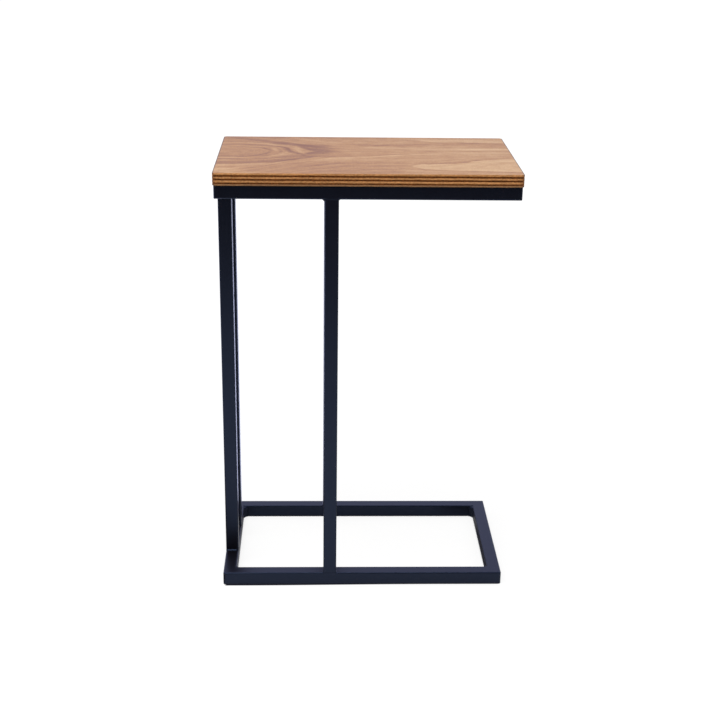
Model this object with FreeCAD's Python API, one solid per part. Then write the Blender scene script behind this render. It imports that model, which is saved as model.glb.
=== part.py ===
"""C-shaped side table: a seven-ply board screwed to a welded frame of square steel tube.

The frame is two mitred rectangles of tube, one on the floor and one under the board, joined
by four uprights near one side, so that the other side is open for a sofa or a bed.
+Z is up, the origin is on the floor at the middle of the footprint, the open side of the C
faces +X, and the long sides face -Y (front) and +Y (back). Lengths are in millimetres.
"""
import FreeCAD, Part
import math
import os

V = FreeCAD.Vector
ORIGIN = V(0, 0, 0)
X_AXIS = V(1, 0, 0)
Y_AXIS = V(0, 1, 0)
Z_AXIS = V(0, 0, 1)

# Square steel tube
TUBE_SIZE = 20.0
TUBE_WALL = 1.5
TUBE_CORNER_RADIUS = 2.0

# Welded frame, its outer corners ground a little rounder than the tube's own
FRAME_WIDTH = 432.0
FRAME_DEPTH = 248.0
FRAME_HEIGHT = 632.0
FRAME_CORNER_GROUND_OFF = 1.0
LONG_SIDE_UPRIGHT_SETBACK = 155.0
SHORT_SIDE_UPRIGHT_SPACING = 82.0

# Welds, measured along the steel from the joint
MITRE_WELD_LEG = 6.0
UPRIGHT_WELD_LEG = 3.0
WELD_END_SETBACK = 1.0

# Plywood board
BOARD_THICKNESS = 18.0
BOARD_END_OVERHANG = 1.0
BOARD_SIDE_OVERHANG = 5.0
BOARD_CORNER_RADIUS = 5.0
BOARD_EDGE_EASE = 0.8

# Wood screws, up through both walls of the short rails
SCREW_DIAMETER = 4.0
SCREW_BITE = 10.0
SCREW_TIP_LENGTH = 3.0
SCREW_HEAD_DIAMETER = 8.0
SCREW_HEAD_HEIGHT = 2.6
SCREW_HEAD_CHAMFER = 1.2
RECESS_SPAN = 4.4
RECESS_WIDTH = 1.1
RECESS_DEPTH = 1.4
SCREW_END_DISTANCE = 40.0
STEEL_HOLE_CLEARANCE = 0.25
WOOD_HOLE_CLEARANCE = 0.05

# The plies from the bottom up: the grain of every other one runs along X
PLIES = [
    "back_veneer",
    "lower_cross_ply",
    "lower_long_ply",
    "core_cross_ply",
    "upper_long_ply",
    "upper_cross_ply",
    "face_veneer",
]

# The sides of a frame, each a quarter turn on from the one before
SIDES = ["front", "right", "back", "left"]

HALF_TUBE = TUBE_SIZE / 2
FRAME_CORNER_RADIUS = TUBE_CORNER_RADIUS + FRAME_CORNER_GROUND_OFF
WELD_RUN = TUBE_SIZE - 2 * WELD_END_SETBACK
BASE_LEVEL = 0.0
TOP_LEVEL = FRAME_HEIGHT - TUBE_SIZE
LONG_RAIL_Y = FRAME_DEPTH / 2 - HALF_TUBE
SHORT_RAIL_X = FRAME_WIDTH / 2 - HALF_TUBE
LONG_SIDE_UPRIGHT_X = -FRAME_WIDTH / 2 + LONG_SIDE_UPRIGHT_SETBACK + HALF_TUBE

# Upright: the centre of its section and the turn of the rail that it stands on
UPRIGHTS = {
    "front_upright": (LONG_SIDE_UPRIGHT_X, -LONG_RAIL_Y, 0),
    "back_upright": (LONG_SIDE_UPRIGHT_X, LONG_RAIL_Y, 0),
    "left_front_upright": (-SHORT_RAIL_X, -SHORT_SIDE_UPRIGHT_SPACING / 2, 90),
    "left_back_upright": (-SHORT_RAIL_X, SHORT_SIDE_UPRIGHT_SPACING / 2, 90),
}


def moved(shape, x=0.0, y=0.0, z=0.0):
    """A copy of the shape at another place."""
    copy = shape.copy()
    copy.translate(V(x, y, z))
    return copy


def turned(shape, degrees, axis=Z_AXIS):
    """A copy of the shape turned about an axis through the origin."""
    copy = shape.copy()
    copy.rotate(ORIGIN, axis, degrees)
    return copy


def rounded_outline(width, depth, radius):
    """A rectangle about the origin in the XY plane, its corners rounded. It starts on +X."""
    x, y = width / 2 - radius, depth / 2 - radius
    arcs = []
    for centre_x, centre_y, start in [(x, y, 0), (-x, y, 90), (-x, -y, 180), (x, -y, 270)]:
        angles = [math.radians(start + turn) for turn in (0, 45, 90)]
        arcs.append([V(centre_x + radius * math.cos(a), centre_y + radius * math.sin(a), 0) for a in angles])
    edges = []
    for arc, following in zip(arcs, arcs[1:] + arcs[:1]):
        edges.append(Part.Arc(*arc).toShape())
        edges.append(Part.makeLine(arc[2], following[0]))
    return Part.Wire(edges)


def rounded_block(width, depth, radius, height):
    """A block on the XY plane with rounded upright edges."""
    return Part.Face(rounded_outline(width, depth, radius)).extrude(V(0, 0, height))


def plan_block(points, height):
    """A block on the XY plane with straight sides through the points."""
    corners = [V(x, y, 0) for x, y in points]
    return Part.Face(Part.makePolygon(corners + corners[:1])).extrude(V(0, 0, height))


def tube_outline(length):
    """The outside of a tube that stands on the XY plane, with no bore."""
    return rounded_block(TUBE_SIZE, TUBE_SIZE, TUBE_CORNER_RADIUS, length)


def tube_bore(length):
    """The hollow of the same tube."""
    size = TUBE_SIZE - 2 * TUBE_WALL
    return Part.makeBox(size, size, length, V(-size / 2, -size / 2, 0))


def side_sizes(side):
    """The turn of a side about Z, its length, and the frame's size across it."""
    turns = SIDES.index(side)
    sizes = (FRAME_WIDTH, FRAME_DEPTH)
    return 90 * turns, sizes[turns % 2], sizes[(turns + 1) % 2]


def on_side(bar, side, level):
    """Lay a standing bar along one side of the frame whose underside is at the level."""
    turn, length, across = side_sizes(side)
    lying = moved(turned(bar, 90, Y_AXIS), -length / 2, -across / 2 + HALF_TUBE, level + HALF_TUBE)
    return turned(lying, turn)


def mitre_wedge(side, level):
    """The room that one rail takes, with ends at 45 degrees and eased outer corners."""
    turn, length, across = side_sizes(side)
    outer, inner = -across / 2, -across / 2 + TUBE_SIZE
    ends = length / 2
    points = [(-ends, outer), (ends, outer), (ends - TUBE_SIZE, inner), (TUBE_SIZE - ends, inner)]
    wedge = turned(plan_block(points, TUBE_SIZE), turn)
    footprint = rounded_block(FRAME_WIDTH, FRAME_DEPTH, FRAME_CORNER_RADIUS, TUBE_SIZE)
    return moved(wedge.common(footprint), z=level)


def rail(side, level):
    """A mitred rail of tube."""
    length = side_sizes(side)[1]
    tube = tube_outline(length).cut(tube_bore(length))
    return on_side(tube, side, level).common(mitre_wedge(side, level))


def upright(name):
    """A length of tube between the two frames."""
    x, y, _ = UPRIGHTS[name]
    length = TOP_LEVEL - TUBE_SIZE
    return moved(tube_outline(length).cut(tube_bore(length)), x, y, TUBE_SIZE)


def bead(leg, length):
    """Weld metal with a hollow face in a corner along Y, its legs along +X and +Z."""
    middle = leg - leg * math.cos(math.radians(45))
    hollow = Part.Arc(V(leg, 0, 0), V(middle, 0, middle), V(0, 0, leg)).toShape()
    legs = [Part.makeLine(ORIGIN, V(leg, 0, 0)), Part.makeLine(V(0, 0, leg), ORIGIN)]
    section = Part.Face(Part.Wire([legs[0], hollow, legs[1]]))
    return moved(section.extrude(V(0, length, 0)), y=-length / 2)


def foot_beads():
    """The weld at the foot of an upright on a rail along X, whose top is the XY plane.

    Two beads fill the corners beside the tube. Two more fill the rail's rounded edges under
    it and are ground flush with the front and the back of the steel.
    """
    side = moved(bead(UPRIGHT_WELD_LEG, WELD_RUN), x=HALF_TUBE)
    seam = turned(bead(TUBE_CORNER_RADIUS, TUBE_SIZE).mirror(ORIGIN, Z_AXIS), 90)
    seam = moved(seam, y=-HALF_TUBE)
    return [turned(shape, turn) for shape in (side, seam) for turn in (0, 180)]


def upright_welds(at_top):
    """The welds at the feet of the uprights, or those at their heads."""
    beads = foot_beads()
    level = TUBE_SIZE
    if at_top:
        beads = [shape.mirror(ORIGIN, Z_AXIS) for shape in beads]
        level = TOP_LEVEL
    return [moved(turned(shape, turn), x, y, level) for x, y, turn in UPRIGHTS.values() for shape in beads]


def mitre_welds(level):
    """The beads in the four inner corners of a frame."""
    standing = moved(turned(bead(MITRE_WELD_LEG, WELD_RUN), -90, X_AXIS), z=level + HALF_TUBE)
    x, y = FRAME_WIDTH / 2 - TUBE_SIZE, FRAME_DEPTH / 2 - TUBE_SIZE
    corners = [(-x, -y, 0), (x, -y, 90), (x, y, 180), (-x, y, 270)]
    return [moved(turned(standing, turn), corner_x, corner_y) for corner_x, corner_y, turn in corners]


def screw_places():
    """Where the screws stand: two in each short rail, as far from its ends."""
    y = FRAME_DEPTH / 2 - SCREW_END_DISTANCE
    return [(SHORT_RAIL_X * x_sign, y * y_sign) for x_sign in (-1, 1) for y_sign in (-1, 1)]


def screw():
    """A pan-head wood screw that points up, its head bearing on the underside of the frame."""
    length = TUBE_SIZE + SCREW_BITE
    shank, head = SCREW_DIAMETER / 2, SCREW_HEAD_DIAMETER / 2
    below = V(0, 0, -SCREW_HEAD_HEIGHT)
    profile = [
        below,
        V(head - SCREW_HEAD_CHAMFER, 0, -SCREW_HEAD_HEIGHT),
        V(head, 0, SCREW_HEAD_CHAMFER - SCREW_HEAD_HEIGHT),
        V(head, 0, 0),
        V(shank, 0, 0),
        V(shank, 0, length - SCREW_TIP_LENGTH),
        V(0, 0, length),
        below,
    ]
    body = Part.Face(Part.makePolygon(profile)).revolve(ORIGIN, Z_AXIS, 360)
    corner = V(-RECESS_SPAN / 2, -RECESS_WIDTH / 2, below.z - RECESS_DEPTH)
    slot = Part.makeBox(RECESS_SPAN, RECESS_WIDTH, 2 * RECESS_DEPTH, corner)
    return body.cut(slot.fuse(turned(slot, 90)))


def screw_holes(clearance):
    """The room for every screw's shank, wider all round by the clearance."""
    length = TUBE_SIZE + SCREW_BITE + clearance
    hole = Part.makeCylinder(SCREW_DIAMETER / 2 + clearance, length)
    return [moved(hole, x, y, TOP_LEVEL) for x, y in screw_places()]


def ply(number):
    """One layer of the board, counted from the bottom, with the holes that the screws make."""
    width = FRAME_WIDTH + 2 * BOARD_END_OVERHANG
    depth = FRAME_DEPTH + 2 * BOARD_SIDE_OVERHANG
    thickness = BOARD_THICKNESS / len(PLIES)
    sheet = rounded_block(width, depth, BOARD_CORNER_RADIUS, thickness)
    eased_height = {0: 0.0, len(PLIES) - 1: thickness}.get(number)
    rim = [edge for edge in sheet.Edges if all(vertex.Z == eased_height for vertex in edge.Vertexes)]
    if rim:
        sheet = sheet.makeFillet(BOARD_EDGE_EASE, rim)
    sheet = moved(sheet, z=FRAME_HEIGHT + number * thickness)
    for hole in screw_holes(WOOD_HOLE_CLEARANCE):
        sheet = sheet.cut(hole)
    return sheet


def build():
    """Every node of the table by its name, as a list of the solids in it."""
    nodes = {}
    for level_name, level in [("base", BASE_LEVEL), ("top", TOP_LEVEL)]:
        for side in SIDES:
            nodes[f"{level_name}_{side}_rail"] = [rail(side, level)]
        nodes[f"{level_name}_corner_welds"] = mitre_welds(level)
    for side in ("left", "right"):
        drilled = nodes[f"top_{side}_rail"][0]
        for hole in screw_holes(STEEL_HOLE_CLEARANCE):
            drilled = drilled.cut(hole)
        nodes[f"top_{side}_rail"] = [drilled]
    for name in UPRIGHTS:
        nodes[name] = [upright(name)]
    nodes["upright_foot_welds"] = upright_welds(at_top=False)
    nodes["upright_head_welds"] = upright_welds(at_top=True)
    nodes["board_screws"] = [moved(screw(), x, y, TOP_LEVEL) for x, y in screw_places()]
    for number, name in enumerate(PLIES):
        nodes[name] = [ply(number)]
    return nodes


def main():
    """Write one STEP file for each node."""
    os.makedirs("parts", exist_ok=True)
    for name, shapes in build().items():
        solids = [solid for shape in shapes for solid in shape.Solids]
        node = solids[0] if len(solids) == 1 else Part.makeCompound(solids)
        node.exportStep(f"parts/{name}.step")
        print(f"{name}: {len(solids)} solids, valid {node.isValid()}, {node.Volume:.1f} mm3")


main()
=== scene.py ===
"""C-shaped side table: finishes, weld beads, board screws and a photographer's studio.

Sizes are in metres and colours are linear. +Z is up, the open side of the C faces +X, and
the front long side faces -Y. The grain of the board's faces runs along X.
"""
import math
import random

import bmesh
import bpy
from bpy.props import FloatProperty, FloatVectorProperty, IntProperty, PointerProperty
from mathutils import Matrix, Vector


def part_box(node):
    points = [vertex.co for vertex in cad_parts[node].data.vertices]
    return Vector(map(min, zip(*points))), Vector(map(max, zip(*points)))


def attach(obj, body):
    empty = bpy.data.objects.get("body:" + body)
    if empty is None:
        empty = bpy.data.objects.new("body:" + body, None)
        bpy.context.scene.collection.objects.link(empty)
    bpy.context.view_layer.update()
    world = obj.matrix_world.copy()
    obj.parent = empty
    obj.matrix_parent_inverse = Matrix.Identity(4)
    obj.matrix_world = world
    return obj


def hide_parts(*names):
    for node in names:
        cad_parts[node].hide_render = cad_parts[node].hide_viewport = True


bl_info = {
    "name": "C-Shaped Side Table",
    "version": (1, 0, 0),
    "blender": (4, 5, 0),
    "location": "View3D > Sidebar > Side Table",
    "description": "Dresses a plywood side table on a welded frame of square tube",
    "category": "Object",
}

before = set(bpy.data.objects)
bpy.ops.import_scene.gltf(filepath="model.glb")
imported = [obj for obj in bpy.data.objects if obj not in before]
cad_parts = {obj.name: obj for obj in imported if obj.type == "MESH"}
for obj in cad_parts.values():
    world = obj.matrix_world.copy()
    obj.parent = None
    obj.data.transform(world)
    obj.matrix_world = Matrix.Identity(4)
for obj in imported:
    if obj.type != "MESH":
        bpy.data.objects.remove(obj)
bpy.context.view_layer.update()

BODY = "root"
MILLIMETRE = 0.001
TOUCHING = MILLIMETRE / 100
UPRIGHTS = ("front_upright", "back_upright", "left_front_upright", "left_back_upright")
RAILS = tuple(f"{level}_{side}_rail"
              for level in ("base", "top") for side in ("front", "back", "left", "right"))
INNER_PLIES = ("lower_cross_ply", "lower_long_ply", "core_cross_ply", "upper_long_ply", "upper_cross_ply")
PLY_COUNT = len(INNER_PLIES) + 2

# The figure of the board's face is drawn in millimetres, on a ramp a little longer than the board.
FIGURE_SPAN = 480.0
HALF_WIDTH, HALF_DEPTH = (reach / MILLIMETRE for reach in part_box("face_veneer")[1].xy)

# How high, in metres, the steel and the weld metal stand out unevenly under the coat.
STEEL_LUMPS = 0.00005
WELD_LUMPS = 0.00018

# Each ripple of a bead is laid in three sections, and an end section is about half as large.
SECTIONS_PER_RIPPLE = 3
END_SIZE = 0.55

WHITE = (1, 1, 1)
PAPER = (0.90, 0.90, 0.90)


def size(name, default, description):
    """A length that a user may change."""
    return FloatProperty(name=name, description=description, default=default, precision=5, unit="LENGTH")


def share(name, default, description):
    """A factor from 0 to 1 that a user may change."""
    return FloatProperty(
        name=name, description=description, default=default, min=0, max=1, subtype="FACTOR")


def colour(name, default, description):
    """A linear colour that a user may change."""
    return FloatVectorProperty(
        name=name, description=description, default=default, min=0, max=1, subtype="COLOR")


class PaintSettings(bpy.types.PropertyGroup):
    """The powder coat of the frame."""

    coat: colour("Coat", (0.0050, 0.0036, 0.0050), "Colour of the powder coat")
    sheen: colour("Sheen", (0.37, 0.54, 0.98), "Tint of what the coat reflects when seen head on")
    dust: colour("Dust", (0.13, 0.12, 0.13), "Colour of the dust specks on the upper faces")
    # Lighter than the coat: partly a thinner coat on an arris, partly a painted highlight along the
    # arrises.
    thin_coat_and_highlight: colour("Thin coat", (0.006, 0.006, 0.011), "Colour where the coat is thin on an arris")
    roughness: share("Roughness", 0.32, "Roughness of the coat")
    peel_size: size("Orange peel", 0.0021, "Distance between the dimples of the coat")
    peel_depth: size("Peel depth", 0.000028, "Depth of the dimples of the coat")


class WeldSettings(bpy.types.PropertyGroup):
    """The weld beads of the frame."""

    mitre_leg: size("Mitre bead", 0.0062, "How far a bead reaches along the rails in an inner corner")
    foot_leg: size("Foot bead", 0.0016, "How far a bead reaches at an upright's foot")
    head_leg: size("Head bead", 0.0036, "How far a bead reaches at an upright's head")
    pitch: size("Ripple", 0.0019, "Distance from one ripple of a bead to the next")
    ripple: share("Ripple height", 0.11, "Height of the ripples as a share of the bead")
    seed: IntProperty(name="Seed", description="Picks the unevenness of the beads", default=4, min=0)


class BoardSettings(bpy.types.PropertyGroup):
    """The plywood board."""

    face_light: colour("Light veneer", (0.62, 0.385, 0.188), "Colour of the palest early wood")
    face_middle: colour("Veneer", (0.455, 0.234, 0.100), "Colour of most of the face")
    face_dark: colour("Dark veneer", (0.258, 0.116, 0.066), "Colour of smoky figure and late wood")
    edge_light: colour("Long grain edge", (0.72, 0.325, 0.118), "Colour of a ply cut along its grain")
    edge_dark: colour("End grain edge", (0.105, 0.026, 0.003), "Colour of a ply cut across its grain")
    rim: colour("Rim", (0.110, 0.085, 0.078), "Colour of the eased rim at the two ends and the back")
    glue: colour("Glue line", (0.030, 0.010, 0.003), "Colour of the glue between two plies")
    ring_spacing: size("Ring spacing", 0.015, "Usual distance between growth rings on the back")
    roughness: share("Roughness", 0.42, "Roughness of the lacquer")


class ScrewSettings(bpy.types.PropertyGroup):
    """The screws under the top frame."""

    zinc: colour("Zinc", (0.60, 0.59, 0.54), "Colour of the plating")
    head: size("Head", 0.008, "Diameter of the head")
    shank: size("Shank", 0.004, "Diameter of the shank")


class StudioSettings(bpy.types.PropertyGroup):
    """The stage, the lamps and the camera."""

    ambient: share("Ambient", 0.52, "Brightness of the surroundings as light on the table")
    mirrored: colour("Mirrored", (0.60, 0.62, 0.87), "What the finishes mirror behind the table")
    front: colour("Front", (0.012, 0.012, 0.014), "What the finishes mirror in front of the table")
    key_power: FloatProperty(name="Key", description="Power of the large lamp", default=38, unit="POWER")
    fill_power: FloatProperty(name="Fill", description="Power of the front lamp", default=3, unit="POWER")
    camera_place: FloatVectorProperty(
        name="Camera", description="Where the camera stands", default=(-0.068776, -1.935985, 1.058927),
        subtype="TRANSLATION", unit="LENGTH")
    camera_turn: FloatProperty(
        name="Turn", description="How far the camera turns to the right", default=0.03315, unit="ROTATION")
    camera_dip: FloatProperty(
        name="Dip", description="How far the camera looks down", default=0.36154, unit="ROTATION")
    camera_roll: FloatProperty(
        name="Roll", description="How far the camera leans", default=0.01417, unit="ROTATION")
    lens: FloatProperty(name="Lens", description="Focal length", default=66.43, unit="CAMERA")


class TableSettings(bpy.types.PropertyGroup):
    """All that a user may change."""

    paint: PointerProperty(type=PaintSettings)
    welds: PointerProperty(type=WeldSettings)
    board: PointerProperty(type=BoardSettings)
    screws: PointerProperty(type=ScrewSettings)
    studio: PointerProperty(type=StudioSettings)


class Value:
    """What a socket gives. Python's arithmetic on it adds Math nodes."""

    def __init__(self, recipe, socket):
        self.recipe = recipe
        self.socket = socket

    def __add__(self, other):
        return self.recipe.math("ADD", self, other)

    __radd__ = __add__

    def __sub__(self, other):
        return self.recipe.math("SUBTRACT", self, other)

    def __rsub__(self, other):
        return self.recipe.math("SUBTRACT", other, self)

    def __mul__(self, other):
        return self.recipe.math("MULTIPLY", self, other)

    __rmul__ = __mul__

    def __truediv__(self, other):
        return self.recipe.math("DIVIDE", self, other)

    def __abs__(self):
        return self.recipe.math("ABSOLUTE", self)

    def smooth(self, low, high):
        """0 below the low value, 1 above the high one, with a soft step between them."""
        limits = {"Value": self, "From Min": low, "From Max": high}
        return self.recipe.node("ShaderNodeMapRange", {"interpolation_type": "SMOOTHSTEP"}, limits)


class Recipe:
    """The node tree of a material or of the world."""

    def __init__(self, owner):
        owner.use_nodes = True
        self.owner = owner
        self.tree = owner.node_tree
        self.tree.nodes.clear()

    def node(self, kind, settings=None, inputs=None, output=0):
        """Add a node with its settings, then the values or links of its sockets."""
        made = self.tree.nodes.new(kind)
        for name, value in (settings or {}).items():
            if name == "stops":
                self.set_stops(made.color_ramp.elements, value)
            else:
                setattr(made, name, value)
        for name, value in (inputs or {}).items():
            if isinstance(value, Value):
                self.tree.links.new(value.socket, made.inputs[name])
            else:
                made.inputs[name].default_value = value
        if not made.outputs:
            return None
        return Value(self, made.outputs[output])

    def set_stops(self, elements, stops):
        """Give a ramp its stops, each a position and a grey level or a colour."""
        while len(elements) < len(stops):
            elements.new(1)
        for element, (position, tone) in zip(elements, stops):
            element.position = position
            element.color = (*tone, 1.0)[:4] if isinstance(tone, tuple) else (tone, tone, tone, 1)

    def math(self, operation, *terms):
        """One Math node on values or numbers."""
        return self.node("ShaderNodeMath", {"operation": operation}, dict(enumerate(terms)))

    def place(self):
        """The place on the piece, as a vector and as its three coordinates."""
        spot = self.node("ShaderNodeTexCoord", output="Object")
        return spot, self.split(spot)

    def split(self, vector):
        """The three coordinates of a vector."""
        return [self.node("ShaderNodeSeparateXYZ", inputs={0: vector}, output=axis) for axis in "XYZ"]

    def point(self, x, y, z):
        """A vector from three coordinates."""
        return self.node("ShaderNodeCombineXYZ", inputs={"X": x, "Y": y, "Z": z})

    def noise(self, vector, scale=1.0, detail=2.0, roughness=0.5, distortion=0.0):
        """Smooth unevenness from 0 to 1 about 0.5."""
        inputs = {"Vector": vector, "Scale": scale, "Detail": detail, "Roughness": roughness,
                  "Distortion": distortion}
        return self.node("ShaderNodeTexNoise", None, inputs)

    def bands(self, ring, detail=1.0):
        """Light and dark bands of uneven width as one number grows, from 0 to 1."""
        inputs = {"W": ring, "Scale": 1.0, "Detail": detail, "Roughness": 0.55}
        return self.node("ShaderNodeTexNoise", {"noise_dimensions": "1D"}, inputs)

    def blend(self, factor, first, second):
        """The first colour, turning into the second as the factor goes to 1."""
        inputs = {0: factor, 6: opaque(first), 7: opaque(second)}
        return self.node("ShaderNodeMix", {"data_type": "RGBA"}, inputs, output=2)

    def relief(self, height):
        """The surface's normal once it has a relief of this height in metres."""
        return self.node("ShaderNodeBump", None, {"Strength": 1.0, "Distance": 1.0, "Height": height})

    def surface(self, inputs):
        """Finish the material with these values on its shader."""
        shader = self.node("ShaderNodeBsdfPrincipled", None, inputs)
        self.node("ShaderNodeOutputMaterial", None, {"Surface": shader})
        return self.owner


def opaque(tone):
    """A colour with the fourth number that a socket wants, or the value itself."""
    return tone if isinstance(tone, Value) else (*tone[:3], 1.0)


def scaled(tone, factor):
    """A colour made darker or lighter."""
    return [part * factor for part in tone]


def new_recipe(name):
    return Recipe(bpy.data.materials.new(name))


def powder_coat(settings, name, lumps):
    """Satin powder coat with orange peel, lighter on the arrises, partly where the coat is thinner and
    partly as a painted highlight, and a little dusty on top.

    The lumps are how high, in metres, the metal under it stands out unevenly.
    """
    recipe = new_recipe(name)
    spot, _ = recipe.place()
    facing = recipe.node("ShaderNodeNewGeometry", output="Normal")
    across, along, upward = recipe.split(facing)
    flatness = recipe.math("MAXIMUM", recipe.math("MAXIMUM", abs(across), abs(along)), abs(upward))
    arris = (1 - flatness).smooth(0.04, 0.26)
    peel = recipe.noise(spot, 1 / settings.peel_size, detail=1.5)
    powder_depth = settings.peel_depth * 0.16
    powder = recipe.noise(spot, 2600, detail=1)
    drift = recipe.noise(spot, 55, detail=3, roughness=0.6)
    # Painted highlight: the arrises are lightened, partly for a thinner coat and partly for the light they
    # catch.
    thin_and_highlit = arris * (0.35 + drift)
    dust_specks = recipe.noise(spot, 900, detail=2).smooth(0.60, 0.72)
    dust = dust_specks * upward.smooth(0.75, 0.98) * drift * 0.12
    tone = recipe.blend(thin_and_highlit, settings.coat, settings.thin_coat_and_highlight)
    tone = recipe.blend(dust, tone, settings.dust)
    height = peel * settings.peel_depth + powder * powder_depth + drift * lumps
    return recipe.surface({
        "Base Color": tone,
        "Roughness": settings.roughness + (drift - 0.5) * 0.10 + (powder - 0.5) * 0.06 + dust,
        "Specular Tint": opaque(settings.sheen),
        "Specular IOR Level": 0.58,
        "Sheen Weight": 0.06,
        "Sheen Roughness": 0.25,
        "Sheen Tint": (0.45, 0.50, 1.0, 1.0),
        "Normal": recipe.relief(height),
    })


def zinc_plating(settings):
    """Bright zinc with faint blotches and fine marks from the driver and the tumbling."""
    recipe = new_recipe("zinc_plating")
    spot, _ = recipe.place()
    blotch = recipe.noise(spot, 420, detail=3)
    marks = recipe.noise(spot, 5200, detail=2, distortion=2.5)
    tone = recipe.blend(blotch.smooth(0.35, 0.75), settings.zinc, (0.50, 0.47, 0.36))
    return recipe.surface({
        "Base Color": tone,
        "Metallic": 1.0,
        "Roughness": 0.26 + blotch * 0.14 + marks * 0.10,
        "Normal": recipe.relief(marks * 0.000012),
    })


def ply_edges(recipe, settings, x, y, z, side):
    """The colour and the relief of the board's edge, where its plies show.

    On the front and back edges the plies whose grain runs along X show long grain and the
    others end grain, and on the two ends it is the other way round.
    """
    low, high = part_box("back_veneer")[0].z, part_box("face_veneer")[1].z
    run = x + (y - x) * side

    # How high a point is in the board, from 0 to 1, and in which layer, with uneven glue lines.
    wander = recipe.noise(recipe.point(x * 40, y * 40, z * 120), detail=3) - 0.5
    fuzz = recipe.noise(recipe.point(x * 700, y * 700, z * 1100), detail=2) - 0.5
    depth = (z - low) / (high - low) + wander * 0.060 + fuzz * 0.030
    layer = depth * PLY_COUNT

    # The crosswise plies: where each begins and is there in full, and where it ends likewise.
    cross_plies = ((0.120, 0.150, 0.246, 0.274), (0.406, 0.436, 0.546, 0.574), (0.692, 0.722, 0.832, 0.862))
    stops = [(0.0, 0), *(stop for ply in cross_plies for stop in zip(ply, (0, 1, 1, 0))), (1.0, 0)]
    crosswise = recipe.node("ShaderNodeValToRGB", {"stops": stops}, {"Fac": depth})
    end_grain = crosswise + side * (1 - 2 * crosswise)
    streaks = recipe.noise(recipe.point(run * 34, z * 30, z * 1500), detail=4, roughness=0.62)
    drift = recipe.noise(recipe.point(run * 11, z * 90, 3.0), detail=2)
    vessels = recipe.noise(recipe.point(run * 620, z * 300, z * 620), detail=3, roughness=0.7)
    specks = recipe.noise(recipe.point(run * 230, z * 620, 13.0), detail=2, roughness=0.6)
    fade = streaks.smooth(0.36, 0.64) * 0.32 + drift.smooth(0.30, 0.70) * 0.26
    fade = fade + specks.smooth(0.38, 0.62) * 0.46
    long_tone = recipe.blend(fade, scaled(settings.edge_light, 0.36), settings.edge_light)
    end_tone = recipe.blend(vessels.smooth(0.38, 0.66), scaled(settings.edge_dark, 0.35),
                            scaled(settings.edge_dark, 1.8))
    tone = recipe.blend(end_grain, long_tone, end_tone)

    # Glue in the joints and in the gaps of the end grain, then painted shade along the lowest layer.
    near_joint = abs(layer - recipe.math("ROUND", layer)) * -1
    joint = near_joint.smooth(-0.075, -0.01) * drift.smooth(0.2, 0.6)
    inside = layer.smooth(0.4, 0.6) * (1 - layer.smooth(PLY_COUNT - 0.6, PLY_COUNT - 0.4))
    tone = recipe.blend(joint * inside * 0.75, tone, settings.glue)
    gaps = recipe.noise(recipe.point(run * 48, z * 520, 7.0), detail=1).smooth(0.735, 0.76) * end_grain
    tone = recipe.blend(gaps, tone, settings.glue)
    lowest = 1 - layer.smooth(0.75, 1.05)
    lowest_ply_shade, lower_edge_shadow, corner_shade = (0.150, 0.095, 0.062), (0.010, 0.007, 0.006), (0.11, 0.035, 0.018)
    # Painted shade: the lowest ply is greyed and darkened.
    tone = recipe.blend(lowest * 0.60, tone, lowest_ply_shade)
    # Painted shadow: the bottom of the board's edge turns nearly black, for the shade between the board and
    # the frame.
    tone = recipe.blend((1 - layer.smooth(0.12, 0.32)) * 0.9, tone, lower_edge_shadow)
    # Painted shade: the front and back edges turn darker and redder towards the two ends, for the shading
    # at the corners.
    ends = abs(x).smooth((HALF_WIDTH - 7) * MILLIMETRE, HALF_WIDTH * MILLIMETRE)
    tone = recipe.blend(ends * (1 - side) * 0.45, tone, corner_shade)
    height = (streaks - 0.5) * 0.00009 + vessels * end_grain * 0.00016 - (end_grain + gaps * 2) * 0.00012
    return tone, height


def pores(recipe, x, y, offset):
    """Short open pores along the grain, from 0 to 1, with all lengths in millimetres."""
    fine = recipe.noise(recipe.point(x * 0.17, y * 2.1, offset), detail=2, roughness=0.6)
    patch = recipe.noise(recipe.point(x * 0.009, y * 0.06, offset + 5), detail=2)
    return fine.smooth(0.57, 0.70) * (0.35 + patch)


def grain_streaks(recipe, x, y, offset):
    """Fine long streaks of the grain, from 0 to 1 about 0.5, with all lengths in millimetres."""
    broad = recipe.noise(recipe.point(x * 0.007, y * 0.13, offset), detail=4, roughness=0.62)
    fine = recipe.noise(recipe.point(x * 0.028, y * 0.72, offset + 2), detail=3, roughness=0.6)
    return broad * 0.6 + fine * 0.4


def course(recipe, along, stops):
    """Where a line of the figure runs and how strong it is, from the place along the board.

    Each stop has the place along, the place across and the strength. Lengths are in millimetres.
    """
    coded = [(place / FIGURE_SPAN + 0.5, (*[level / FIGURE_SPAN + 0.5] * 3, strength))
             for place, level, strength in stops]
    ramp = recipe.node("ShaderNodeValToRGB", {"stops": coded}, {"Fac": along / FIGURE_SPAN + 0.5})
    level = (ramp - 0.5) * FIGURE_SPAN
    return level, Value(recipe, ramp.socket.node.outputs["Alpha"])


def band(recipe, along, across, before, flat, after, stops):
    """A band of the figure: it rises before its line, stays flat up to it and falls after it."""
    level, strength = course(recipe, along, stops)
    offset = across - level
    return (offset.smooth(-before - flat, -flat) - offset.smooth(0, after)) * strength


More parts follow.
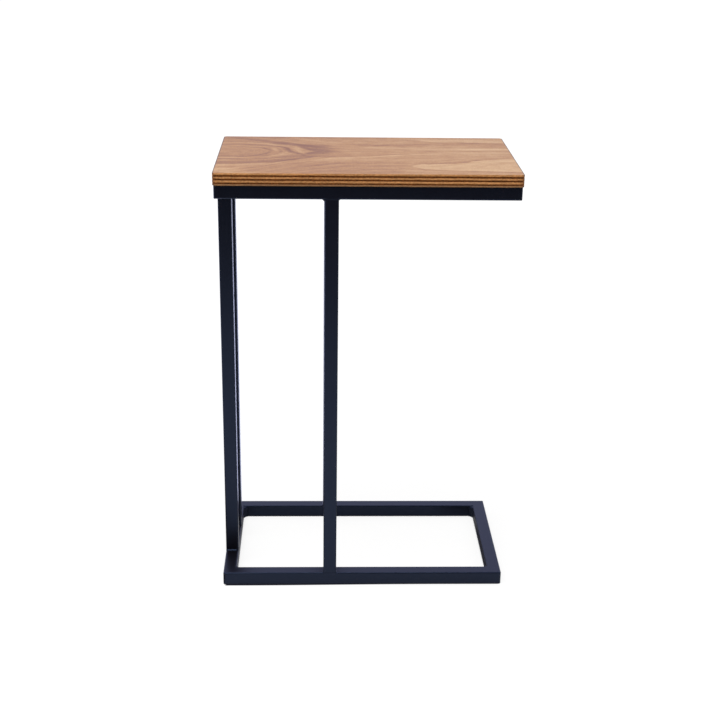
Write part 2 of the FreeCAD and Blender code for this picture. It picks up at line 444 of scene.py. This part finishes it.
def dark_bands(recipe, x, y):
    """The dark rings, the smoky patch and the dark lines of the face."""
    smoke = band(recipe, y, x, 12, 14, 38, [
        (-34, -112, 0), (-12, -92, 0.5), (4, -76, 0.8), (14, -64, 0.9), (21, -60, 0.85), (30, -68, 0.9),
        (44, -73, 0.9), (62, -80, 0.95), (76, -92, 0)])
    swirl = band(recipe, y, x, 9, 2, 8, [
        (-42, -108, 0), (-28, -102, 0.3), (-12, -90, 0.8), (0, -94, 1), (14, -108, 0.8), (28, -113, 1),
        (40, -116, 1), (50, -122, 0.9), (60, -134, 0)])
    rings = [
        (12, 3, 12, [(-216, 128, 0), (-190, 116, 0.5), (-165, 102, 0.5), (-140, 86, 0.65), (-116, 75, 0.75),
                     (-98, 65, 0.6), (-76, 56, 0)]),
        (3, 2, 6, [(-216, 65, 0.6), (-184, 68, 0.8), (-155, 61, 0.7), (-130, 53, 0.6), (-118, 47, 0)]),
        (6, 0, 4, [(-216, 46, 0.1), (-184, 52, 0.4), (-156, 44, 0.6), (-145, 34, 1), (-138, 28, 0)]),
        (5, 0, 6, [(-216, -19, 0.4), (-175, -18, 0.5), (-156, -8, 0.7), (-144, 4, 0.9), (-136, 14, 0)]),
        (3, 1, 4, [(-216, -37, 0.9), (-180, -36, 0.8), (-150, -32, 0.5), (-126, -24, 0.5), (-108, -10, 0)]),
        (5, 5, 12, [(-216, -62, 0.4), (-170, -57, 0.5), (-138, -50, 0.7), (-118, -42, 1),
                    (-104, -34, 0.85), (-88, -22, 0.45), (-72, -10, 0)]),
    ]
    lines = [
        (5, 2, 5, [(-216, 121, 0.4), (-150, 121, 0.6), (-70, 122, 0.8), (-40, 121, 0.2), (216, 122, 0.4)]),
        (3, 1, 7, [(-78, -15, 0.6), (-40, -14, 0.9), (0, -10, 0.7), (28, -5, 0.6), (50, 2, 0)]),
        (6, 0, 4, [(60, -14, 0), (84, -10, 0.7), (110, -8, 0.6), (128, -5, 0)]),
        (6, 1, 5, [(50, 19, 0), (84, 25, 0.5), (130, 28, 0.9), (180, 30, 0.7), (216, 32, 0.4)]),
        (14, 8, 7, [(-44, 82, 0), (-6, 76, 0.6), (40, 79, 0.7), (110, 86, 0.8), (150, 86, 1),
                    (216, 82, 0.9)]),
        (8, 1, 3, [(34, 103, 0), (60, 106, 0.8), (84, 104, 0.9), (100, 95, 0.5), (120, 91, 0.2)]),
        (6, 3, 4, [(-216, -120, 1), (-206, -124, 1), (-194, -130, 0.6), (-186, -134, 0)]),
    ]
    total = recipe.math("MAXIMUM", smoke, swirl)
    for depth, drawn in ((0.85, rings), (0.55, lines)):
        for before, flat, after, stops in drawn:
            total = total + band(recipe, x, y, before, flat, after, stops) * depth
    return total


def pale_bands(recipe, x, y):
    """The pale rings and lines of the face."""
    gleam = band(recipe, y, x, 6, 2, 6, [
        (-10, -87, 0), (4, -91, 0.5), (24, -98, 0.7), (44, -100, 0.5), (62, -104, 0)])
    inner = band(recipe, y, x, 5, 1, 5, [(8, -128, 0), (20, -131, 0.7), (36, -134, 0.9), (50, -142, 0)])
    total = gleam + inner
    lines = [
        (7, 2, 6, [(-216, 80, 0.6), (-184, 82, 0.7), (-160, 77, 0.8), (-138, 67, 0.8), (-112, 56, 0)]),
        (5, 1, 3, [(-216, 56, 0.6), (-190, 60, 0.7), (-160, 54, 0.3), (-146, 48, 0)]),
        (4, 1, 4, [(-216, -26, 1), (-184, -26, 0.9), (-168, -25, 0)]),
        (4, 1, 4, [(-216, -45, 0.9), (-192, -45, 0.7), (-174, -46, 0)]),
        (6, 1, 6, [(-152, -16, 0.2), (-134, -12, 0.7), (-120, -5, 0.7), (-110, 0, 0)]),
        (10, 4, 3, [(-216, -74, 1), (-170, -69, 0.8), (-140, -64, 0.5), (-104, -54, 0)]),
        (7, 1, 3, [(-68, -32, 0), (-56, -29, 1), (-38, -25, 0.7), (0, -20, 0.8), (30, -8, 0.8), (46, -4, 1),
                   (80, 4, 0.7), (130, 11, 0.5), (216, 16, 0.5)]),
        (9, 3, 7, [(-30, 54, 0.2), (40, 48, 0.6), (100, 42, 0.7), (150, 42, 1), (216, 44, 0.9)]),
        (4, 8, 16, [(66, 112, 0), (90, 108, 0.8), (112, 104, 0.9), (150, 104, 0.9), (216, 102, 0.8)]),
    ]
    for before, flat, after, stops in lines:
        total = total + band(recipe, x, y, before, flat, after, stops)
    return total


def pale_tongue(recipe, x, y):
    """The pale tongue at the front right, and the dark wood round its upper and lower side."""
    upper, above = course(recipe, x, [
        (62, -78, 0.2), (70, -68, 0.4), (82, -61, 0.6), (89, -66, 0.9), (98, -62, 0.9), (124, -60, 1),
        (146, -51, 0.9), (152, -44, 0.6), (176, -32, 0.6), (216, -22, 0.4)])
    lower, below = course(recipe, x, [
        (62, -78, 0.4), (73, -88, 0.5), (80, -97, 0.6), (140, -104, 0.9), (216, -110, 0.9)])
    over, under = y - upper, lower - y
    begun = x.smooth(60, 66)
    inside = (1 - over.smooth(-2.5, 1)) * (1 - under.smooth(-1.5, 2)) * begun
    rim = over.smooth(-1, 2) * (1 - over.smooth(3, 17)) * above
    rim = rim + under.smooth(0, 3) * (1 - under.smooth(4, 12)) * below
    return inside, rim * x.smooth(48, 66)


def face_figure(recipe, settings, x, y):
    """How light the face veneer is, from 0 to 1: rings round a heart at the left, a patch of
    smoky wood beside it, long bands towards the right and one pale tongue at the front.

    The fine grain follows the height of the growth rings over the sheet, which is like a hill
    at the left and even slopes at the right.
    """
    place = recipe.point(x, y, 0.0)
    wander = recipe.node("ShaderNodeTexNoise", None, {
        "Vector": place, "Scale": 16.0, "Detail": 3.0, "Roughness": 0.6}, output="Color")
    sway_x, sway_y, _ = [part - 0.5 for part in recipe.split(wander)]
    tremble = recipe.noise(recipe.point(x * 60, y * 150, 4.0), detail=3, roughness=0.6) - 0.5
    x, y = x / MILLIMETRE, y / MILLIMETRE

    # The height of the growth rings over the sheet.
    fan = (x - 60).smooth(0, 160) * y.smooth(-118, -50) * (1 - y.smooth(-50, 20)) * 48
    across = abs(y - 20 - fan + sway_y * 16)
    away = (x + sway_x * 20).smooth(-215, -20) * 95
    ring = recipe.math("SQRT", across * across + away * away)
    hill = ring + (across + away - ring) * ring.smooth(50, 80) + tremble * 2.2

    # The grain that follows it, from the broadest bands to the finest flecks.
    broad = recipe.noise(recipe.point(hill * 0.055, x * 0.0045, y * 0.004), detail=3, roughness=0.6)
    streaks = grain_streaks(recipe, x, hill, 1.0)
    open_pores = pores(recipe, x, hill, 8.0)
    late_wood = recipe.noise(recipe.point(hill * 0.15, x * 0.006, y * 0.006), detail=2, roughness=0.6)
    mottle = recipe.noise(recipe.point(x * 0.045, y * 0.085, 2.0), detail=3, roughness=0.62)
    fleck = recipe.noise(recipe.point(x * 0.42, y * 0.30, 31.0), detail=1)

    # The lines of the figure, the duller wood in front and the paler corner at the front left.
    bent_x, bent_y = x + sway_x * 12 + tremble * 5, y + sway_y * 5 + tremble * 3.5
    inside, rim = pale_tongue(recipe, bent_x, y + tremble * 2.5)
    front = (1 - y.smooth(-60, -40)) * x.smooth(-130, -80) * (1 - x.smooth(40, 70))
    front_left = (1 - y.smooth(-112, -80)) * (1 - x.smooth(-205, -150))

    light = 0.535 + (broad - 0.5) * 0.62 + (streaks - 0.5) * 1.05
    light = light + (mottle - 0.5) * 0.70 + (fleck - 0.5) * 0.60 + (late_wood - 0.5) * 0.42
    light = light + x.smooth(-120, 200) * 0.16 - (1 - x.smooth(-140, -80)) * 0.13
    light = light - dark_bands(recipe, bent_x, bent_y) * 0.47 + pale_bands(recipe, bent_x, bent_y) * 0.30
    light = light + inside * 0.31 - rim * 0.34 - front * 0.14 + front_left * 0.38 - open_pores * 0.22
    height = (streaks - 0.5) * 0.00004 - open_pores * 0.00003
    return light, height


def back_figure(recipe, settings, x, y):
    """How light the plainer back veneer is: straight bands and a few dark streaks."""
    sway = recipe.noise(recipe.point(x * 5, y * 9, 21.0), detail=3) - 0.5
    broad = recipe.bands((y + sway * 0.05) / settings.ring_spacing * 0.8 + 11.0, detail=1.5)
    x, y = x / MILLIMETRE, (y + sway * 0.01) / MILLIMETRE
    streaks = grain_streaks(recipe, x, y, 23.0)
    open_pores = pores(recipe, x, y, 29.0)
    light = 0.46 + (broad - 0.5) * 1.2 + (streaks - 0.5) * 0.9 - open_pores * 0.2
    height = (streaks - 0.5) * 0.00008 - open_pores * 0.00006
    return light, height


def lacquered_wood(settings, name, figure):
    """Clear lacquer on plywood: its edge, and the figure of a face where the layer has one."""
    recipe = new_recipe(name)
    _, (x, y, z) = recipe.place()
    facing = recipe.node("ShaderNodeNewGeometry", output="Normal")
    across, _, upward = recipe.split(facing)
    side = abs(across).smooth(0.55, 0.85)
    tone, height = ply_edges(recipe, settings, x, y, z, side)
    roughness = settings.roughness + 0.30
    if figure:
        light, face_height = figure(recipe, settings, x, y)
        palest = [light_part * 1.5 - middle_part * 0.5 for light_part, middle_part in
                  zip(settings.face_light, settings.face_middle)]
        tones = (settings.face_dark, settings.face_middle, settings.face_light, palest)
        stops = [(place, tuple(part)) for place, part in zip((0.0, 0.4, 0.8, 1.0), tones)]
        face_tone = recipe.node("ShaderNodeValToRGB", {"stops": stops}, {"Fac": light * 0.8})
        on_face = abs(upward).smooth(0.45, 0.80)
        along, back = x / MILLIMETRE, y / MILLIMETRE
        begun, full = 2.0, 1.0
        rim_line = recipe.math("MAXIMUM", abs(along).smooth(HALF_WIDTH - begun, HALF_WIDTH - full),
                               back.smooth(HALF_DEPTH - begun, HALF_DEPTH - full))
        tone = recipe.blend(on_face, tone, recipe.blend(rim_line * 0.8, face_tone, settings.rim))
        height = height + (face_height - height) * on_face
        roughness = settings.roughness + (1 - on_face) * 0.30 - (light - 0.5) * 0.06
    return recipe.surface({
        "Base Color": tone,
        "Roughness": roughness,
        "Specular IOR Level": 0.3,
        "Specular Tint": (1.0, 0.75, 0.45, 1.0),
        "Normal": recipe.relief(height),
    })


def dress(node_names, material):
    """Give CAD nodes a finish."""
    for name in node_names:
        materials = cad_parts[name].data.materials
        materials.clear()
        materials.append(material)


def add_piece(shape, name, material, replaced):
    """Turn a bmesh into a piece that rides with the table in place of CAD nodes."""
    bmesh.ops.remove_doubles(shape, verts=shape.verts, dist=TOUCHING)
    bmesh.ops.recalc_face_normals(shape, faces=shape.faces)
    for face in shape.faces:
        face.smooth = True
    mesh = bpy.data.meshes.new(name)
    shape.to_mesh(mesh)
    shape.free()
    mesh.materials.append(material)
    piece = bpy.data.objects.new(name, mesh)
    bpy.context.scene.collection.objects.link(piece)
    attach(piece, BODY)
    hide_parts(*replaced)
    return piece


def soften(piece, levels):
    """Round a piece off with subdivision."""
    rounding = piece.modifiers.new("Rounding", "SUBSURF")
    rounding.levels = levels
    rounding.render_levels = levels


def lay_bead(shape, profile, run, settings, pick, where, first=1.0, last=1.0):
    """Lay one ripple of weld metal after another along local Y, then move the bead to its place.

    The bead grows or shrinks from its first size to its last one and tapers at both ends. The
    middle of each section lags behind its sides, as the crescents of real weld metal do.
    """
    steps = SECTIONS_PER_RIPPLE * max(2, round(run / settings.pitch))
    ridges = (-settings.ripple / 2, settings.ripple, settings.ripple / 3)
    end_sizes = (END_SIZE, 0.84, 0.96)
    unevenness = 0.025
    lag = settings.pitch * 0.45
    middle = (len(profile) - 1) // 2
    corners = []
    for number, (reach, height) in enumerate(profile):
        trail = lag * math.cos(math.pi / 2 * min(1, abs(number - middle) / middle))
        corners.append(shape.verts.new((reach, -run / 2 - trail, height)))
    section = shape.faces.new(corners)
    laid = list(corners)
    start = Vector((0, -run / 2, 0))
    earlier = END_SIZE * first
    bmesh.ops.scale(shape, verts=corners, vec=(earlier, 1, earlier), space=Matrix.Translation(-start))
    for step in range(steps):
        grown = bmesh.ops.extrude_face_region(shape, geom=[section])
        if step:
            shape.faces.remove(section)  # the operator leaves it inside the bead
        corners = [item for item in grown["geom"] if isinstance(item, bmesh.types.BMVert)]
        section = next(item for item in grown["geom"] if isinstance(item, bmesh.types.BMFace))
        from_end = min(step + 1, steps - step - 1)
        taper = end_sizes[from_end] if from_end < len(end_sizes) else 1.0
        now = taper * (1 + ridges[step % SECTIONS_PER_RIPPLE] + pick.uniform(-unevenness, unevenness))
        now *= first + (last - first) * (step + 1) / steps
        bmesh.ops.translate(shape, verts=corners, vec=(0, run / steps, 0))
        bmesh.ops.scale(shape, verts=corners, vec=(now / earlier, 1, now / earlier))
        earlier = now
        laid += corners
    bmesh.ops.transform(shape, matrix=where, verts=laid)


def local_frame(first, along, second, origin):
    """The matrix that takes local X, Y and Z to three directions about a new origin."""
    turn = Matrix((first, along, second)).transposed().to_4x4()
    return Matrix.Translation(origin) @ turn


def fillet_profile(leg):
    """A bead's section in a corner, with its root deep enough for the steel's round arrises."""
    root = -0.8 * MILLIMETRE
    points = [(1.0, 0), (0.72, 0.25), (0.48, 0.48), (0.25, 0.72), (0, 1.0)]
    face = [(first * leg, second * leg) for first, second in points]
    return [(leg, root), *face, (root, leg), (root, root)]


def seam_profile():
    """The section of a seam that fills a tube's rounded arris and is ground flush."""
    points = [(0.02, 0.6), (0.09, -0.1), (0.10, -1.0), (0.07, -1.8), (-0.05, -2.4), (-1.6, -0.3)]
    return [(first * MILLIMETRE, second * MILLIMETRE) for first, second in points]


def upright_end_beads(settings, pick, at_top):
    """The beads at the feet or the heads of the four uprights.

    Each has a fillet at two of its sides and a flush seam at the other two. At a head, one of
    the two fillets is smaller.
    """
    shape = bmesh.new()
    smaller = 0.45
    for name in UPRIGHTS:
        low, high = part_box(name)
        centre = (low + high) / 2
        level = high.z if at_top else low.z
        rise = Vector((0, 0, -1 if at_top else 1))
        along, out = Vector((1, 0, 0)), Vector((0, 1, 0))
        if name.startswith("left"):
            along, out = out, along
        half = (high.x - low.x) / 2
        fillet_run, seam_run = 2 * half - 3 * MILLIMETRE, 2 * half - MILLIMETRE
        end = Vector((centre.x, centre.y, level))
        for sign in (-1, 1):
            beside = local_frame(along * sign, out, rise, end + along * sign * half)
            leg = settings.head_leg * (smaller if sign > 0 else 1) if at_top else settings.foot_leg
            lay_bead(shape, fillet_profile(leg), fillet_run, settings, pick, beside)
            before = local_frame(out * sign, along, rise, end + out * sign * half)
            lay_bead(shape, seam_profile(), seam_run, settings, pick, before)
    return shape


def corner_beads(settings, pick, level_name):
    """The beads that stand in the four inner corners of the base or of the top frame.

    Each is a little shorter than the rails are high and grows a little from its start.
    """
    shape = bmesh.new()
    start_size, end_size = 0.85, 1.05
    left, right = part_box(f"{level_name}_left_rail"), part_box(f"{level_name}_right_rail")
    front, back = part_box(f"{level_name}_front_rail"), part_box(f"{level_name}_back_rail")
    middle = (front[0].z + front[1].z) / 2
    run = front[1].z - front[0].z - 1.8 * MILLIMETRE
    for x, x_sign in ((left[1].x, 1), (right[0].x, -1)):
        for y, y_sign in ((front[1].y, 1), (back[0].y, -1)):
            where = local_frame((x_sign, 0, 0), (0, 0, 1), (0, y_sign, 0), (x, y, middle))
            lay_bead(shape, fillet_profile(settings.mitre_leg), run, settings, pick, where,
                     start_size, end_size)
    return shape


def screw_shape(settings, length):
    """A pan-head screw that points up from the origin, with a domed head below it.

    The head's outline goes in shares of its radius and in millimetres below the steel.
    """
    shape = bmesh.new()
    head, shank, tip = settings.head / 2, settings.shank / 2, 3 * MILLIMETRE
    outline = [(0, -2.60), (0.45, -2.52), (0.78, -2.18), (0.96, -1.55), (1.0, -0.75), (0.98, -0.12),
               (0.95, 0)]
    points = [(reach * head, 0, level * MILLIMETRE) for reach, level in outline]
    points += [(shank, 0, 0), (shank, 0, length - tip), (0, 0, length)]
    verts = [shape.verts.new(point) for point in points]
    edges = [shape.edges.new(pair) for pair in zip(verts, verts[1:])]
    bmesh.ops.spin(shape, geom=verts + edges, cent=(0, 0, 0), axis=(0, 0, 1), angle=2 * math.pi,
                   steps=40, use_merge=True)
    bmesh.ops.remove_doubles(shape, verts=shape.verts, dist=TOUCHING)
    bmesh.ops.recalc_face_normals(shape, faces=shape.faces)
    return shape


def cross_cutter():
    """Two crossed bars that taper upwards and cut the recess for the driver."""
    shape = bmesh.new()
    length, width, height, level = 4.6, 1.05, 3.0, -2.55
    for turn in (0, math.pi / 2):
        bar = bmesh.ops.create_cube(shape, size=MILLIMETRE)["verts"]
        bmesh.ops.scale(shape, verts=bar, vec=(length, width, height))
        deep = [vert for vert in bar if vert.co.z > 0]
        bmesh.ops.scale(shape, verts=deep, vec=(0.42, 0.62, 1))
        bmesh.ops.translate(shape, verts=bar, vec=(0, 0, level * MILLIMETRE))
        bmesh.ops.rotate(shape, verts=bar, matrix=Matrix.Rotation(turn, 3, "Z"))
    return shape


def show(shape, name):
    """Turn a bmesh into a plain object."""
    mesh = bpy.data.meshes.new(name)
    shape.to_mesh(mesh)
    shape.free()
    made = bpy.data.objects.new(name, mesh)
    bpy.context.scene.collection.objects.link(made)
    return made


def recessed_screw(settings, length):
    """The screw's mesh with its recess cut."""
    screw, cutter = show(screw_shape(settings, length), "screw"), show(cross_cutter(), "cutter")
    cut = screw.modifiers.new("Recess", "BOOLEAN")
    cut.operation = "DIFFERENCE"
    cut.object = cutter
    cut.use_self = True
    shown = screw.evaluated_get(bpy.context.evaluated_depsgraph_get())
    mesh = bpy.data.meshes.new_from_object(shown)
    bpy.data.objects.remove(screw)
    bpy.data.objects.remove(cutter)
    return mesh


class SIDETABLE_OT_coat_frame(bpy.types.Operator):
    """Powder-coat the rails and the uprights"""

    bl_idname = "side_table.coat_frame"
    bl_label = "Coat Frame"

    def execute(self, context):
        paint = context.scene.side_table.paint
        dress(RAILS + UPRIGHTS, powder_coat(paint, "powder_coat", STEEL_LUMPS))
        return {"FINISHED"}


class SIDETABLE_OT_lay_welds(bpy.types.Operator):
    """Lay the weld beads at the mitres and at the ends of the uprights"""

    bl_idname = "side_table.lay_welds"
    bl_label = "Lay Welds"

    def execute(self, context):
        settings = context.scene.side_table
        welds = settings.welds
        pick = random.Random(welds.seed)
        coat = powder_coat(settings.paint, "powder_coat_on_weld", WELD_LUMPS)
        for level_name in ("base", "top"):
            shape = corner_beads(welds, pick, level_name)
            name = f"{level_name}_corner"
            soften(add_piece(shape, f"{name}_beads", coat, [f"{name}_welds"]), 1)
        for end, at_top in (("foot", False), ("head", True)):
            shape = upright_end_beads(welds, pick, at_top)
            name = f"upright_{end}"
            soften(add_piece(shape, f"{name}_beads", coat, [f"{name}_welds"]), 1)
        return {"FINISHED"}


class SIDETABLE_OT_lacquer_board(bpy.types.Operator):
    """Give the seven plies of the board their wood and lacquer"""

    bl_idname = "side_table.lacquer_board"
    bl_label = "Lacquer Board"

    def execute(self, context):
        board = context.scene.side_table.board
        dress(["face_veneer"], lacquered_wood(board, "face_veneer_wood", face_figure))
        dress(["back_veneer"], lacquered_wood(board, "back_veneer_wood", back_figure))
        dress(INNER_PLIES, lacquered_wood(board, "ply_wood", None))
        return {"FINISHED"}


class SIDETABLE_OT_drive_screws(bpy.types.Operator):
    """Drive the four screws that hold the board"""

    bl_idname = "side_table.drive_screws"
    bl_label = "Drive Screws"

    def execute(self, context):
        settings = context.scene.side_table.screws
        low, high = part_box("board_screws")
        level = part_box("top_front_rail")[0].z
        mesh = recessed_screw(settings, high.z - level)
        shape = bmesh.new()
        inset = settings.head / 2
        turns = iter((0.3, 1.1, 0.75, 1.45))  # how far each recess is turned, in radians
        for x in (low.x + inset, high.x - inset):
            for y in (low.y + inset, high.y - inset):
                known = set(shape.verts)
                shape.from_mesh(mesh)
                added = [vert for vert in shape.verts if vert not in known]
                where = Matrix.Translation((x, y, level)) @ Matrix.Rotation(next(turns), 4, "Z")
                bmesh.ops.transform(shape, matrix=where, verts=added)
        zinc = zinc_plating(settings)
        screws = add_piece(shape, "pan_head_screws", zinc, ["board_screws"])
        edges = screws.modifiers.new("Edges", "EDGE_SPLIT")
        edges.split_angle = math.radians(35)
        return {"FINISHED"}


def mirror_world(settings):
    """White for the camera; for the table's light an even ambient; in its reflections pale
    behind and above the table and dark in front of it."""
    recipe = Recipe(bpy.context.scene.world)
    rays = {ray: recipe.node("ShaderNodeLightPath", output=f"Is {ray} Ray") for ray in
            ("Camera", "Glossy", "Transmission")}
    _, depth, _ = recipe.split(recipe.node("ShaderNodeTexCoord", output="Generated"))
    mirrored = recipe.blend(depth.smooth(-0.45, 0.25), settings.front, settings.mirrored)
    seen = recipe.math("MAXIMUM", rays["Camera"], rays["Transmission"])
    tone = recipe.blend(rays["Glossy"], [settings.ambient] * 3, mirrored)
    tone = recipe.blend(seen, tone, WHITE)
    light = recipe.node("ShaderNodeBackground", None, {"Color": tone, "Strength": 1})
    recipe.node("ShaderNodeOutputWorld", None, {"Surface": light})


def floor_paper():
    """White paper for the camera, with a faint shadow, a painted contact shadow round the base and a
    painted shadow under the base's front rail. The table's reflections see painted dark paper instead, but
    for the pale zone in front of it and a painted bright patch behind it at the left, which is brighter
    than white. From below the paper is clear."""
    recipe = new_recipe("floor_paper")
    spot, (across, depth, _) = recipe.place()
    rays = {ray: recipe.node("ShaderNodeLightPath", output=f"Is {ray} Ray") for ray in
            ("Camera", "Glossy", "Transmission")}
    fibres = recipe.noise(spot, 700, detail=2)

    # Painted reflections, for what the reflections see: the fronts the pale zone, the left uprights' inner
    # sides the painted bright patch behind, and the foot at the left and the right rail's inner side
    # painted dark zones round them. Elsewhere they see painted dark paper.
    near = depth.smooth(-2.15, -0.75) * (1 - depth.smooth(-0.13, 0.25) * 0.35)
    near = near * (1 - depth.smooth(-0.30, -0.16) * (1 - across.smooth(-0.228, -0.212)) * 0.85)
    beside = across.smooth(0.12, 0.17) * depth.smooth(-0.12, -0.10) * (1 - depth.smooth(0.04, 0.12))
    behind = (1 - (across - depth * 0.2).smooth(-0.05, 0.08)) * depth.smooth(0.08, 0.25)
    # Painted reflection colours, seen only in reflections: a dark paper, and a patch brighter than white
    # that glows.
    painted_dark_reflection, painted_bright_reflection = (0.012, 0.012, 0.018), (1.75, 1.85, 2.60)
    paper = recipe.blend(fibres, PAPER, (0.93, 0.93, 0.93))
    paper = recipe.blend(rays["Glossy"] * (1 - near * (1 - beside * 0.88)), paper, painted_dark_reflection)
    paper = recipe.blend(rays["Glossy"] * behind, paper, painted_bright_reflection)

    # A painted shadow under and just in front of the front rail, which widens to the left and ends short of
    # the corners.
    low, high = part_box("base_front_rail")
    widest, edge = 3.0 * MILLIMETRE, 1.0 * MILLIMETRE
    ends = abs(across).smooth(high.x - 4.0 * MILLIMETRE, high.x - 0.5 * MILLIMETRE)
    rail_shadow = (depth - low.y + (1 - across.smooth(-0.19, 0.11)) * widest).smooth(-edge, edge)
    rail_shadow = rail_shadow * (1 - depth.smooth(low.y + 4 * MILLIMETRE, low.y + 6 * MILLIMETRE)) * (1 - ends)

    # A painted contact shadow round the base from ambient occlusion, and the paper's white, which is purest
    # far away.
    reach = {"Distance": 4 * MILLIMETRE}
    contact_occlusion = recipe.node("ShaderNodeAmbientOcclusion", {"samples": 8}, reach, output="AO")
    open_air = contact_occlusion.smooth(0.30, 0.58) * (1 - rail_shadow * rays["Camera"])
    away = recipe.node("ShaderNodeVectorMath", {"operation": "LENGTH"}, {0: spot}, output="Value")
    white = recipe.blend(away.smooth(0.4, 2.4), PAPER, WHITE)
    matte = recipe.node("ShaderNodeBsdfDiffuse", None, {"Color": recipe.blend(open_air, (0, 0, 0), paper)})
    # The glow turns nearly black in the painted contact shadow and in the painted shadow under the front
    # rail.
    glow = recipe.node("ShaderNodeEmission", None, {
        "Color": recipe.blend(open_air, (0.01, 0.01, 0.02), white), "Strength": 1.25})
    shown = recipe.math("MAXIMUM", rays["Camera"] * 0.75, rays["Transmission"])
    surface = recipe.node("ShaderNodeMixShader", None, {0: shown, 1: matte, 2: glow})
    from_below = recipe.node("ShaderNodeNewGeometry", output="Backfacing")
    clear = recipe.node("ShaderNodeBsdfTransparent")
    surface = recipe.node("ShaderNodeMixShader", None, {0: from_below, 1: surface, 2: clear})
    recipe.node("ShaderNodeOutputMaterial", None, {"Surface": surface})
    return recipe.owner


def add_lamp(name, place, target, width, depth, power):
    """A soft rectangular lamp that faces the target."""
    lamp = bpy.data.lights.new(name, "AREA")
    lamp.shape = "RECTANGLE"
    lamp.size = width
    lamp.size_y = depth
    lamp.energy = power
    holder = bpy.data.objects.new(name, lamp)
    bpy.context.scene.collection.objects.link(holder)
    holder.location = place
    holder.rotation_euler = (Vector(target) - Vector(place)).to_track_quat("-Z", "Y").to_euler()


def add_camera(settings):
    """The camera, turned, dipped and leaned as the settings say."""
    camera = bpy.data.objects.new("camera", bpy.data.cameras.new("camera"))
    bpy.context.scene.collection.objects.link(camera)
    camera.data.lens = settings.lens
    aim = Matrix.Rotation(-settings.camera_turn, 4, "Z")
    aim = aim @ Matrix.Rotation(math.pi / 2 - settings.camera_dip, 4, "X")
    aim = aim @ Matrix.Rotation(settings.camera_roll, 4, "Z")
    camera.matrix_world = Matrix.Translation(settings.camera_place) @ aim
    bpy.context.scene.camera = camera


class SIDETABLE_OT_set_stage(bpy.types.Operator):
    """Set up the floor, the lamps, the surroundings and the camera"""

    bl_idname = "side_table.set_stage"
    bl_label = "Set Stage"

    def execute(self, context):
        studio = context.scene.side_table.studio
        floor_reach, floor_drop = 12, 0.2 * MILLIMETRE
        middle = (0, 0, 0.4)
        shape = bmesh.new()
        bmesh.ops.create_grid(shape, x_segments=1, y_segments=1, size=floor_reach)
        bmesh.ops.translate(shape, verts=shape.verts, vec=(0, 0, -floor_drop))
        floor = show(shape, "studio_floor")
        floor.data.materials.append(floor_paper())
        if context.scene.world is None:
            context.scene.world = bpy.data.worlds.new("studio")
        mirror_world(studio)
        add_lamp("key_lamp", (-0.5, -0.5, 2.6), middle, 2.2, 1.8, studio.key_power)
        add_lamp("fill_lamp", (0.9, -2.6, 1.6), middle, 1.6, 1.2, studio.fill_power)
        add_camera(studio)
        context.scene.view_settings.view_transform = "Standard"
        return {"FINISHED"}


STEPS = (
    SIDETABLE_OT_coat_frame,
    SIDETABLE_OT_lay_welds,
    SIDETABLE_OT_lacquer_board,
    SIDETABLE_OT_drive_screws,
    SIDETABLE_OT_set_stage,
)


class SIDETABLE_PT_sidebar(bpy.types.Panel):
    """Lists the steps and what a user may change"""

    bl_idname = "SIDETABLE_PT_sidebar"
    bl_label = "Side Table"
    bl_space_type = "VIEW_3D"
    bl_region_type = "UI"
    bl_category = "Side Table"

    def draw(self, context):
        settings = context.scene.side_table
        groups = (settings.paint, settings.welds, settings.board, settings.screws, settings.studio)
        for step, group in zip(STEPS, groups):
            box = self.layout.box()
            box.operator(step.bl_idname)
            for name in group.__annotations__:
                box.prop(group, name)


CLASSES = (PaintSettings, WeldSettings, BoardSettings, ScrewSettings, StudioSettings, TableSettings,
           *STEPS, SIDETABLE_PT_sidebar)


def register():
    for cls in CLASSES:
        bpy.utils.register_class(cls)
    bpy.types.Scene.side_table = PointerProperty(type=TableSettings)


def unregister():
    del bpy.types.Scene.side_table
    for cls in reversed(CLASSES):
        bpy.utils.unregister_class(cls)


def main():
    """Dress the table and set the stage."""
    register()
    bpy.ops.side_table.coat_frame()
    bpy.ops.side_table.lay_welds()
    bpy.ops.side_table.lacquer_board()
    bpy.ops.side_table.drive_screws()
    bpy.ops.side_table.set_stage()


if __name__ == "__main__":
    main()
